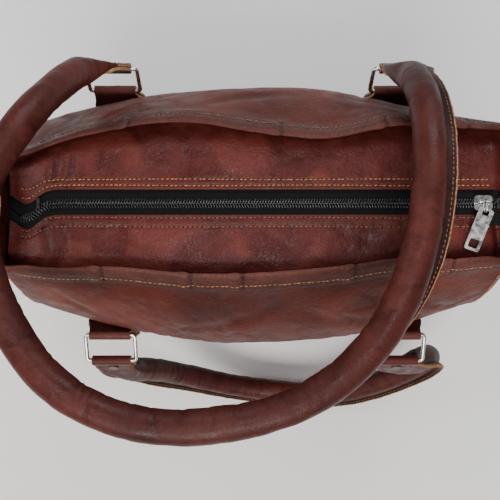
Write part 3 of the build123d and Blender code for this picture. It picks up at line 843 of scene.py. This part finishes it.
CLOSURE_COLS = 52
stations = np.arange(-CLOSURE_HALF, CLOSURE_HALF + CLOSURE_STEP / 2, CLOSURE_STEP)
for face, outward in OUTWARD.items():
    edge = ZIP_EDGE[face]
    rim = closure_reach(stations, face)
    v = np.linspace(0, 1, CLOSURE_COLS) ** 1.05
    y = (edge + LIP) + (rim - edge - LIP)[:, None] * v[None, :]
    x = stations[:, None] * np.ones((1, CLOSURE_COLS))
    top, crease_shade, wear = closure_point(face, x, y)
    bottom = top[:, ::-1].copy()
    bottom[:, :, 2] -= CLOSURE_THICK
    lip = []
    for q, h in LIP_SECTION:
        point = top[:, 0].copy()
        point[:, 1] -= outward * q * LIP
        point[:, 2] += h * MM
        lip.append(point)
    lip = np.transpose(np.array(lip), (1, 0, 2))
    rings = np.concatenate([lip, top, bottom], axis=1)
    plain = np.zeros(lip.shape[:2])
    masks = {
        "crease_shade": np.concatenate([plain, crease_shade, crease_shade[:, ::-1]], axis=1),
        "wear": np.concatenate([plain + 0.3, wear, plain[:, :1] * np.ones((1, CLOSURE_COLS))], axis=1),
    }
    strip = loft(f"{face}_closure_leather", rings, [CLOSURE], masks=masks)
    place(strip, "bag", "closure_leather", f"zip_panel_{face}")
    for row in ZIP_ROWS[face]:
        line_x = np.arange(-166 * MM, 166 * MM, 0.8 * MM)
        stray = 0.25 * MM * np.sin(line_x / (23 * MM) + row)
        line = closure_point(face, line_x, row * MM + stray)[0]
        ahead = closure_point(face, line_x, row * MM + stray + 1 * MM)[0]
        across = (ahead - line) * outward
        tangent = np.gradient(line, axis=0)
        normals = unit(np.cross(tangent, across))
        normals *= np.sign(normals[:, 2:3])
        row_places = stitch_places(line + normals * 0.1 * MM, normals, *ZIP_SEWING)
        # the front closure's rows take the darker copy of the thread as painted shade
        row_stitches = shaded_stitches if face == "front" else body_stitches
        row_stitches += row_places
        for origin, along, side, up, scale in row_places:
            # painted shade: a dark dot just ahead of each stitch for its needle hole
            needle_hole_shades.append((origin + along * HOLE_AHEAD, along, side, up, HOLE_SIZE[face]))

# ---- tape and coils ----
COIL_PITCH = 1.95 * MM
COIL_FROM, COIL_TO = -164 * MM, 166 * MM
TAPE_LOW, TAPE_HIGH = 247.4 * MM, 248.0 * MM
# Distance from the zip's middle in millimetres, and height
TAPE_SECTION = [(0.5, TAPE_LOW), (14.5, TAPE_LOW), (15.0, TAPE_LOW + 0.3 * MM), (14.5, TAPE_HIGH),
                (7.0, TAPE_HIGH), (4.6, TAPE_HIGH), (3.9, TAPE_HIGH + 0.12 * MM), (0.5, TAPE_HIGH)]


def zip_line(x, y, z):
    """A point of the zip, carried along with its stray and its sinking ends."""
    return np.stack([x, y + zip_shift(x), z - zip_dip(x)], axis=-1)


tape_x = np.arange(-175 * MM, 172 * MM, 1.5 * MM)
for face, outward in OUTWARD.items():
    rings = [zip_line(tape_x, np.full_like(tape_x, outward * y * MM), np.full_like(tape_x, z))
             for y, z in TAPE_SECTION]
    tape = loft(f"{face}_tape_cloth", np.transpose(np.array(rings), (1, 0, 2)), [TAPE])
    place(tape, "bag", "zip_tape", f"zip_tape_{face}")

COIL_RIB = tube_template(
    np.array([-0.55, -0.20, 0.70, 1.8, 2.7, 3.35, 3.65]),
    np.array([0.75, 1.10, 1.40, 1.50, 1.38, 1.00, 0.55]),
    np.array([0.36, 0.48, 0.50, 0.50, 0.50, 0.48, 0.36]),
)
for face, outward in OUTWARD.items():
    half_step = 0 if face == "front" else 0.5
    count = int((COIL_TO - COIL_FROM) / COIL_PITCH)
    turns_x = COIL_FROM + COIL_PITCH * (np.arange(count) + half_step)
    origins, ahead, behind = [zip_line(turns_x + step * MM, np.zeros(count), np.full(count, TAPE_HIGH))
                              for step in (0, 0.5, -0.5)]
    places = []
    for origin, way in zip(origins, unit(ahead - behind)):
        out = unit(np.array([0.34 * way[0], outward * 1.0, 0]) - way * outward * way[1])
        up = unit(np.cross(way, out) * outward)
        places.append((origin, out, way, up, MM))
    coil = repeat(f"{face}_coil_turns", COIL_RIB, places, [NYLON])
    place(coil, "bag", "zip_coil", f"zip_coil_{face}")

# ---------------------------------------------------------------- handles

HANDLE_STEP = 1.5 * MM
SECTION_COLS = 56
STRAP_START = 5 * MM
FLAT_HALF = 15.6 * MM
FLAT_HEIGHT = 1.45 * MM
FLAT_LIFT = 1.05 * MM
FLAP_HALF_THICK = 1.0 * MM
FLAP_ROUND_FROM = 15 * MM
FLAP_ROUND = 5.2 * MM
FLANGE_REACH = 6.2 * MM
FLANGE_HALF = 1.45 * MM
# Shares of the flange's reach outward and of its half thickness, round from its root
FLANGE_SECTION = [(0.0, -1.0), (0.3, -1.0), (0.6, -0.96), (0.86, -0.94), (0.97, -0.86), (1.0, -0.55),
                  (0.985, -0.12), (0.93, 0.0), (0.985, 0.12), (1.0, 0.55), (0.97, 0.86), (0.86, 0.94),
                  (0.6, 0.96), (0.3, 1.0), (0.0, 1.0)]
HANDLE_SWAY = {"back": -72, "front": 48}


def smooth_line(points, spacing):
    """Points an even spacing apart along the smooth curve that a route's points control."""
    curve = bpy.data.curves.new("route", "CURVE")
    curve.dimensions = "3D"
    spline = curve.splines.new("NURBS")
    spline.points.add(len(points) - 1)
    for target, point in zip(spline.points, points):
        target.co = (*point, 1)
    spline.order_u = 3
    spline.use_endpoint_u = True
    spline.resolution_u = 24
    holder = bpy.data.objects.new("route", curve)
    line = bpy.data.meshes.new_from_object(holder)
    found = np.array([v.co for v in line.vertices])
    bpy.data.objects.remove(holder)
    bpy.data.meshes.remove(line)
    bpy.data.curves.remove(curve)
    reach = arc_length(found)
    even = np.linspace(0, reach[-1], int(reach[-1] / spacing) + 1)
    found = at_distance(found, reach, even).T.copy()
    free = smoothstep(10 * MM, 30 * MM, np.minimum(even, even[-1] - even))[1:-1, None]
    for _ in range(50):
        found[1:-1] += 0.25 * free * (found[:-2] - 2 * found[1:-1] + found[2:])
    return found


def transport_frames(points, first, last):
    """Tangent, side and up at each point; the side turns evenly from the first to the last one given."""
    tangent = unit(np.gradient(points, axis=0))
    side = np.empty_like(points)
    carried = np.array(first, float)
    for index, way in enumerate(tangent):
        carried = unit(carried - carried.dot(way) * way)
        side[index] = carried
    goal = np.array(last, float)
    goal = unit(goal - goal.dot(tangent[-1]) * tangent[-1])
    twist = math.atan2(goal.dot(np.cross(tangent[-1], side[-1])), goal.dot(side[-1]))
    reach = arc_length(points)
    turn = twist * smoothstep(40 * MM, reach[-1] - 40 * MM, reach)[:, None]
    side = np.cos(turn) * side + np.sin(turn) * np.cross(tangent, side)
    return tangent, side, np.cross(tangent, side)


def ring_bars(face, side):
    """Centres of a ring's near and far bars, and the ring's middle x, from the frame."""
    low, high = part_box(f"ring_{face}_{side}")
    low_y, high_y = low.y + RING_WIRE, high.y - RING_WIRE
    low_z, high_z = low.z + RING_WIRE, high.z - RING_WIRE
    middle_x = (low.x + high.x) / 2
    if face == "front":
        return (middle_x, high_y, high_z), (middle_x, low_y, low_z)
    return (middle_x, low_y, low_z), (middle_x, high_y, high_z)


def handle_section(near):
    """Half width, half height, lift and squareness of the handle at a distance from its flat end."""
    rounded = smoothstep(9 * MM, 42 * MM, near)
    half_width = FLAT_HALF + (TUBE_RADIUS - FLAT_HALF) * smoothstep(14 * MM, 44 * MM, near)
    half_height = FLAT_HEIGHT + (TUBE_RADIUS - FLAT_HEIGHT) * rounded
    return half_width, half_height, FLAT_LIFT * (1 - rounded), 5.5 - 3.5 * rounded


def section_height(share_out, half_high, power):
    """Height of a squarish section above its middle, at a share of its half width."""
    return half_high * np.maximum(0.0, 1 - share_out ** power) ** (1 / power)


handle_stitches = {"back": [], "front": []}
for face, outward in OUTWARD.items():
    strap_turn = math.radians(STRAP_ANGLE[face])
    way_out = np.array([0, outward * math.cos(strap_turn), math.sin(strap_turn)])
    bars = {side: np.array(ring_bars(face, side)[1]) for side in SIDE}
    route = [tuple(c * MM for c in p) for p in HANDLE_ROUTE[face]]
    start = [tuple(bars["left"] + way_out * d) for d in (STRAP_START, 9 * MM, STRAP_REACH)]
    stop = [tuple(bars["right"] + way_out * d) for d in (STRAP_REACH, 9 * MM, STRAP_START)]
    line = smooth_line(start + route + stop, HANDLE_STEP)
    tangent, side_way, up_way = transport_frames(line, (1, 0, 0), (-1, 0, 0))
    reach = arc_length(line)
    total = reach[-1]
    near = np.minimum(reach, total - reach)
    half_width, half_height, lift, power = handle_section(near)
    bend = np.gradient(tangent, axis=0) / np.gradient(reach)[:, None]
    bend_amount = np.linalg.norm(bend, axis=1)
    bend_turn = np.arctan2((bend * up_way).sum(1), (bend * side_way).sum(1))

    turn = np.linspace(0, 2 * math.pi, SECTION_COLS, endpoint=False)[None, :]
    cos_turn, sin_turn = np.cos(turn), np.sin(turn)
    exponent = (2 / power)[:, None]
    across = half_width[:, None] * rounded_power(cos_turn, exponent)
    upward = half_height[:, None] * rounded_power(sin_turn, exponent) + lift[:, None]
    base = line[:, None] + across[:, :, None] * side_way[:, None] + upward[:, :, None] * up_way[:, None]
    away = unit(cos_turn[:, :, None] * side_way[:, None] + sin_turn[:, :, None] * up_way[:, None])

    soft = noise_field(base, 42 * MM, 3, 1.3 + outward)
    fine = noise_field(base, 11 * MM, 3, 6.2)
    round_part = smoothstep(16 * MM, 46 * MM, near)[:, None]
    rise = (0.55 * soft + 0.22 * fine) * MM * (0.3 + 0.7 * round_part)
    folds = np.zeros_like(rise)
    for _ in range(int(total / (5.2 * MM))):
        where = rng.uniform(14 * MM, total - 14 * MM)
        index = int(where / total * (len(line) - 1))
        sharp = min(1.0, bend_amount[index] * 55 * MM)
        middle_turn = bend_turn[index] + rng.normal(0, 0.5 + 0.9 * (1 - sharp))
        spread = rng.uniform(0.45, 1.25)
        wide = rng.uniform(0.8, 2.0) * MM
        deep = rng.uniform(0.2, 0.75) * (0.45 + 0.75 * sharp)
        skew = rng.uniform(-4, 4) * MM
        off = np.angle(np.exp(1j * (turn - middle_turn)))
        local = np.exp(-((reach[:, None] - where - skew * off) / wide) ** 2) * np.exp(-(off / spread) ** 4)
        folds = np.maximum(folds, deep * local)
    bulge = 0.35 * smoothstep(20 * MM, 30 * MM, near)[:, None]
    bulge = bulge * np.sin(reach[:, None] / (6.5 * MM) + 5 * soft)
    rise += (bulge * 0.35 - folds) * MM
    pinch = np.exp(-((near - 26 * MM) / (9 * MM)) ** 2)[:, None]
    rise += pinch * (-1.1 * np.abs(np.sin(1.5 * turn + 3 * soft)) * np.clip(sin_turn, 0, 1)) * MM
    skin = base + away * rise[:, :, None]
    # painted shade in the folds and the pinched hollows
    crease_shade = np.clip(folds * 1.35 + 0.5 * pinch * (rise < -0.5 * MM), 0, 1)
    wear = 0.3 * smoothstep(0.15, 0.8, soft) * round_part
    flat_faces = (near[:-1] < 11 * MM)[:, None] & (np.abs(np.sin(turn + math.pi / SECTION_COLS)) < 0.07)
    kinds = np.where(flat_faces, 1, 0).ravel().tolist()
    cover = loft(f"{face}_handle_leather", skin, [HANDLE, EDGE], kinds, {"wear": wear, "crease_shade": crease_shade})
    place(cover, f"{face}_handle", "handle_leather", f"{face}_handle_cover", f"{face}_handle_end_left",
          f"{face}_handle_end_right")

    # ---- the sewn flange: two layers with pale cut edges, along the outside of the tube ----
    share = reach / total
    sway = math.radians(HANDLE_SWAY[face])
    if face == "back":
        sway_turn = sway * smoothstep(0.78, 0.60, share)
        height = smoothstep(16 * MM, 60 * MM, reach) * smoothstep(5 * MM, 30 * MM, total - reach)
    else:
        sway_turn = sway * smoothstep(0.0, 0.22, share) * smoothstep(1.0, 0.82, share)
        height = smoothstep(6 * MM, 34 * MM, near)
    sway_turn = sway_turn + 0.10 * np.sin(reach / (46 * MM)) * height
    flange_way = -np.cos(sway_turn)[:, None] * side_way + np.sin(sway_turn)[:, None] * up_way
    flange_side = unit(np.cross(tangent, flange_way))
    surface_at = 1 / ((np.abs(np.cos(sway_turn)) / half_width) ** power
                      + (np.abs(np.sin(sway_turn)) / half_height) ** power) ** (1 / power)
    flutter = 0.55 * MM * np.sin(reach / (17 * MM)) * height
    rough_edge = 0.35 * MM * np.array([noise.noise(Vector((s / (5 * MM), outward, 0.5))) for s in reach])
    root = surface_at - 1.2 * MM - 1.5 * MM * (1 - height)
    tip = surface_at + FLANGE_REACH * height + rough_edge * height - 0.4 * MM
    rings = []
    for q, p in FLANGE_SECTION:
        out = root + (tip - root) * q
        over = p * FLANGE_HALF * (0.55 + 0.45 * height) + flutter * q
        pressed = -np.sign(p) * 0.3 * MM * math.exp(-((q - 0.62) / 0.14) ** 2)
        centre = line + lift[:, None] * up_way
        rings.append(centre + out[:, None] * flange_way + (over + pressed)[:, None] * flange_side)
    rings = np.transpose(np.array(rings), (1, 0, 2))
    outs = [q for q, p in FLANGE_SECTION] + [0.0]
    pale = [int(0.9 < (a + b) / 2) for a, b in zip(outs, outs[1:])]
    keep = height > 0.02
    kinds = pale * (int(keep.sum()) - 1)
    # the flange takes the darker copy of the handle leather as painted shade
    flange = loft(f"{face}_handle_flange", rings[keep], [SHADED_FLANGE_LEATHER, EDGE], kinds)
    set_mask(flange, "wear", np.zeros(len(flange.data.vertices)))
    place(flange, f"{face}_handle", "handle_leather")
    long_enough = height > 0.35
    for column, sign in ((2, -1), (12, 1)):
        along_line = rings[long_enough][:, column]
        normals = sign * flange_side[long_enough]
        handle_stitches[face] += stitch_places(along_line + normals * 0.1 * MM, normals, *FLANGE_SEWING)

    # ---- each end: a strap round the ring's far bar, its flap lying along the underside ----
    for side, hand in SIDE.items():
        order = slice(None, None, -hand)
        own_line = line[order][:30]
        own_reach = arc_length(own_line)
        width_way = np.array([1.0, 0, 0])
        top_way = unit(np.cross(way_out, width_way))
        own_up = up_way[order][:30]
        own_side = side_way[order][:30] * -hand
        own = handle_section(own_reach)

        def own_frame(step):
            """The section, point, up and side of this end, a step from where it starts."""
            section = [np.interp(step, own_reach, values) for values in own]
            up_here, side_here = (unit(at_distance(ways, own_reach, step)) for ways in (own_up, own_side))
            return section, at_distance(own_line, own_reach, step), up_here, side_here

        grid_rows = []
        lanes = np.linspace(-1, 1, 25)
        for step in np.linspace(20 * MM, 0.5 * MM, 12):
            (half_wide, half_high, lifted, power_here), middle_point, up_here, side_here = own_frame(step)
            past = max(0, step - FLAP_ROUND_FROM) / FLAP_ROUND
            half = 15.4 * MM * (0.80 + 0.20 * math.sqrt(max(0, 1 - past ** 2)))
            half = min(half, 0.93 * half_wide + 1.2 * MM)
            share_out = np.clip(np.abs(lanes * half) / half_wide, 0, 0.97)
            under = lifted - section_height(share_out, half_high, power_here) - FLAP_HALF_THICK - 0.08 * MM
            grid_rows.append(middle_point + lanes[:, None] * half * side_here + under[:, None] * up_here)
        wrap_radius = RING_WIRE + 0.25 * MM + FLAP_HALF_THICK
        bar = bars[side]
        for angle in np.radians(np.arange(-62, -299, -15.8)):
            point = bar + wrap_radius * (math.cos(angle) * way_out + math.sin(angle) * top_way)
            grid_rows.append(point + lanes[:, None] * 15.6 * MM * width_way)
        for step, rise_to in ((4.2, 2.15), (6.0, 1.35), (8.5, 1.05)):
            point = bar + step * MM * way_out + rise_to * MM * top_way
            grid_rows.append(point + lanes[:, None] * 15.3 * MM * width_way)
        middle_grid = np.array(grid_rows)
        ripple = 0.12 * MM * noise_field(middle_grid, 9 * MM, 2, 3.3)
        strap = folded_strip(f"{face}_handle_strap_{side}", middle_grid, FLAP_HALF_THICK, ripple, HANDLE,
                             slice(14, 26), 0.5)[0]
        place(strap, f"{face}_handle", "handle_leather")
        for lane in (-12.4, 12.4):
            points = []
            for step in np.linspace(1.0 * MM, 17 * MM, 12):
                (half_wide, half_high, lifted, power_here), middle_point, up_here, side_here = own_frame(step)
                share_out = abs(lane) * MM / half_wide
                over = lifted + section_height(share_out, half_high, power_here) + 0.15 * MM
                points.append(middle_point + lane * MM * side_here + over * up_here)
            normals = np.tile(top_way, (len(points), 1))
            handle_stitches[face] += stitch_places(np.array(points), normals, *STRAP_SEWING)

for face in OUTWARD:
    # the handles' stitches take the darker copy of the orange thread as painted shade
    piece = repeat(f"{face}_handle_stitches", STITCH, handle_stitches[face], [SHADED_THREAD])
    place(piece, f"{face}_handle", "handle_leather")

# ---------------------------------------------------------------- chapes

CHAPE_HALF = (16.2 * MM, 20.0 * MM)
CHAPE_FOOT = 148 * MM
CHAPE_SEAT = {"front": 162 * MM, "back": 171 * MM}
CHAPE_HALF_THICK = 1.0 * MM
for face, outward in OUTWARD.items():
    for side in SIDE:
        near_bar = ring_bars(face, side)[0]
        bar_depth, bar_z = abs(near_bar[1]), near_bar[2]
        lanes = np.linspace(-1, 1, 33)
        seat_z = CHAPE_SEAT[face]
        tall = seat_z - CHAPE_FOOT
        x_middle = near_bar[0]
        seat_depth = float(body_depth(np.array(x_middle), np.array(seat_z), face)) + 2.2 * MM
        lean = math.atan2(seat_z - bar_z, seat_depth - bar_depth)
        wrap_radius = RING_WIRE + 0.25 * MM + CHAPE_HALF_THICK
        path = []
        for share, off in ((0.0, 1.2), (0.22, 1.2), (0.43, 1.2), (0.65, 1.2), (0.85, 1.25), (1.0, 1.5)):
            path.append(("panel", CHAPE_FOOT + share * tall, off * MM))
        for share in (0.2, 0.45, 0.7):
            path.append(("bridge", share, -1))
        for angle in np.linspace(lean - math.pi * 0.60, lean - math.pi * 1.40, 15):
            path.append(("bar", angle, 0))
        for share in (0.7, 0.45, 0.2):
            path.append(("bridge", share, 1))
        for share, off in ((1.0, 3.9), (0.83, 3.5), (0.65, 3.35), (0.43, 3.3), (0.22, 3.3), (-0.04, 3.3)):
            path.append(("panel", CHAPE_FOOT + share * tall, off * MM))
        grid_rows = []
        for kind, first, second in path:
            if kind == "panel":
                half = CHAPE_HALF[1]
                x = x_middle + lanes * half
                depth = body_depth(x, first, face) + second
                z = np.full_like(x, first)
            elif kind == "bridge":
                half = CHAPE_HALF[1] + (CHAPE_HALF[0] - CHAPE_HALF[1]) * first
                x = x_middle + lanes * half
                low = body_depth(x, seat_z, face) + (1.5 * MM if second < 0 else 3.9 * MM)
                cross = second * wrap_radius * 0.62
                end_depth = bar_depth + math.cos(lean) * 3.6 * MM + cross * math.sin(lean) * -1
                end_z = bar_z + math.sin(lean) * 3.6 * MM + cross * math.cos(lean)
                depth = low + (end_depth - low) * first
                z = np.full_like(x, seat_z + (end_z - seat_z) * first)
            else:
                x = x_middle + lanes * CHAPE_HALF[0]
                depth = np.full_like(x, bar_depth + wrap_radius * math.cos(first))
                z = np.full_like(x, bar_z + wrap_radius * math.sin(first))
            grid_rows.append(np.stack([x, outward * depth, z], axis=1))
        middle_grid = np.array(grid_rows)
        ripple = 0.15 * MM * noise_field(middle_grid, 10 * MM, 2, 1.9)
        chape, outer, inner = folded_strip(f"chape_leather_{face}_{side}", middle_grid, CHAPE_HALF_THICK,
                                           ripple, BINDING, slice(10, 24), 0.6)
        place(chape, "bag", "body_leather", f"chape_{face}_{side}")
        fronts = outer if outward * (outer - inner)[-2, 16, 1] > 0 else inner
        sewn_lines = [fronts[-6:, lane][::-1] for lane in (2, 30)] + [fronts[row, 2:31] for row in (-2, -5)]
        for line in sewn_lines:
            normals = np.tile([0.0, outward, 0.0], (len(line), 1))
            body_stitches += stitch_places(line, normals, *CHAPE_SEWING)

for name, template, places, material in (("body_stitches", STITCH, body_stitches, THREAD),
                                         ("shaded_stitches", STITCH, shaded_stitches, SHADED_THREAD),
                                         ("needle_hole_shades", NEEDLE_DOT, needle_hole_shades, NEEDLE_HOLE_SHADE)):
    place(repeat(name, template, places, [material]), "bag", "body_leather")

# ---------------------------------------------------------------- frame pieces that stay

KEPT = {
    # the zip's metal end stops take the black nylon as painted shade, for the dark folds at the zip's ends
    # where they sit
    NYLON: ["zip_end_stops"],
    OLD_NICKEL: ["back_handle_rivets", "front_handle_rivets"],
    NICKEL: ["zip_slider", "puller_link", "pull_tab"]
            + [f"ring_{face}_{side}" for face in OUTWARD for side in SIDE],
    BOARD: ["base_board"],
    CORD: ["back_handle_core", "front_handle_core"],
}
for material, names in KEPT.items():
    for name in names:
        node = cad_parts[name]
        node.data.materials.clear()
        node.data.materials.append(material)

# ---------------------------------------------------------------- floor, light and camera

floor_material, floor_tree, floor_shader = new_material("floor_paper", (0.92, 0.90, 0.88), 0.75)
floor_where = object_space(floor_tree)
floor_tree.links.new(bump(floor_tree, noise_node(floor_tree, floor_where, 300, 3), 0.0002, 0.2),
                     floor_shader.inputs["Normal"])
FLOOR_HALF, FLOOR_TOP = 3, -0.0005
floor_corners = [(x * FLOOR_HALF, y * FLOOR_HALF, FLOOR_TOP) for x, y in ((-1, -1), (1, -1), (1, 1), (-1, 1))]
floor = build_mesh("floor", floor_corners, [(0, 1, 2, 3)], [floor_material], smooth=False)

world = bpy.data.worlds.new("studio")
bpy.context.scene.world = world
world.use_nodes = True
background = world.node_tree.nodes["Background"]
background.inputs["Color"].default_value = (0.92, 0.95, 1.0, 1)
background.inputs["Strength"].default_value = 0.27


def area_light(name, location, target, size, power, color=(1, 1, 1)):
    light = bpy.data.lights.new(name, "AREA")
    light.shape = "RECTANGLE"
    light.size, light.size_y = size
    light.energy = power
    light.color = color
    lamp = bpy.data.objects.new(name, light)
    bpy.context.scene.collection.objects.link(lamp)
    lamp.location = location
    lamp.rotation_euler = (Vector(target) - Vector(location)).to_track_quat("-Z", "Y").to_euler()
    return lamp


MIDDLE = (0, 0, 0.2)
area_light("key", (-0.10, -0.80, 1.10), MIDDLE, (0.7, 0.5), 14, (1.0, 0.97, 0.93))
area_light("back", (0.30, 0.95, 0.95), MIDDLE, (0.9, 0.35), 9, (0.95, 0.97, 1.0))
area_light("top", (0.0, -0.06, 1.35), MIDDLE, (0.22, 0.16), 3.2, (0.94, 0.97, 1.0))
area_light("side", (-1.0, 0.10, 0.75), MIDDLE, (0.5, 0.7), 5)

CAMERA_PLACE = (-0.004, -0.052, 0.685)
CAMERA_TILT = math.radians(2.6)
CAMERA_LENS = 45.7
camera_data = bpy.data.cameras.new("camera")
camera_data.sensor_width = 36
camera_data.lens = CAMERA_LENS
camera_data.clip_start = 0.01
camera = bpy.data.objects.new("camera", camera_data)
bpy.context.scene.collection.objects.link(camera)
camera.location = CAMERA_PLACE
camera.rotation_euler = (CAMERA_TILT, 0, 0)
bpy.context.scene.camera = camera
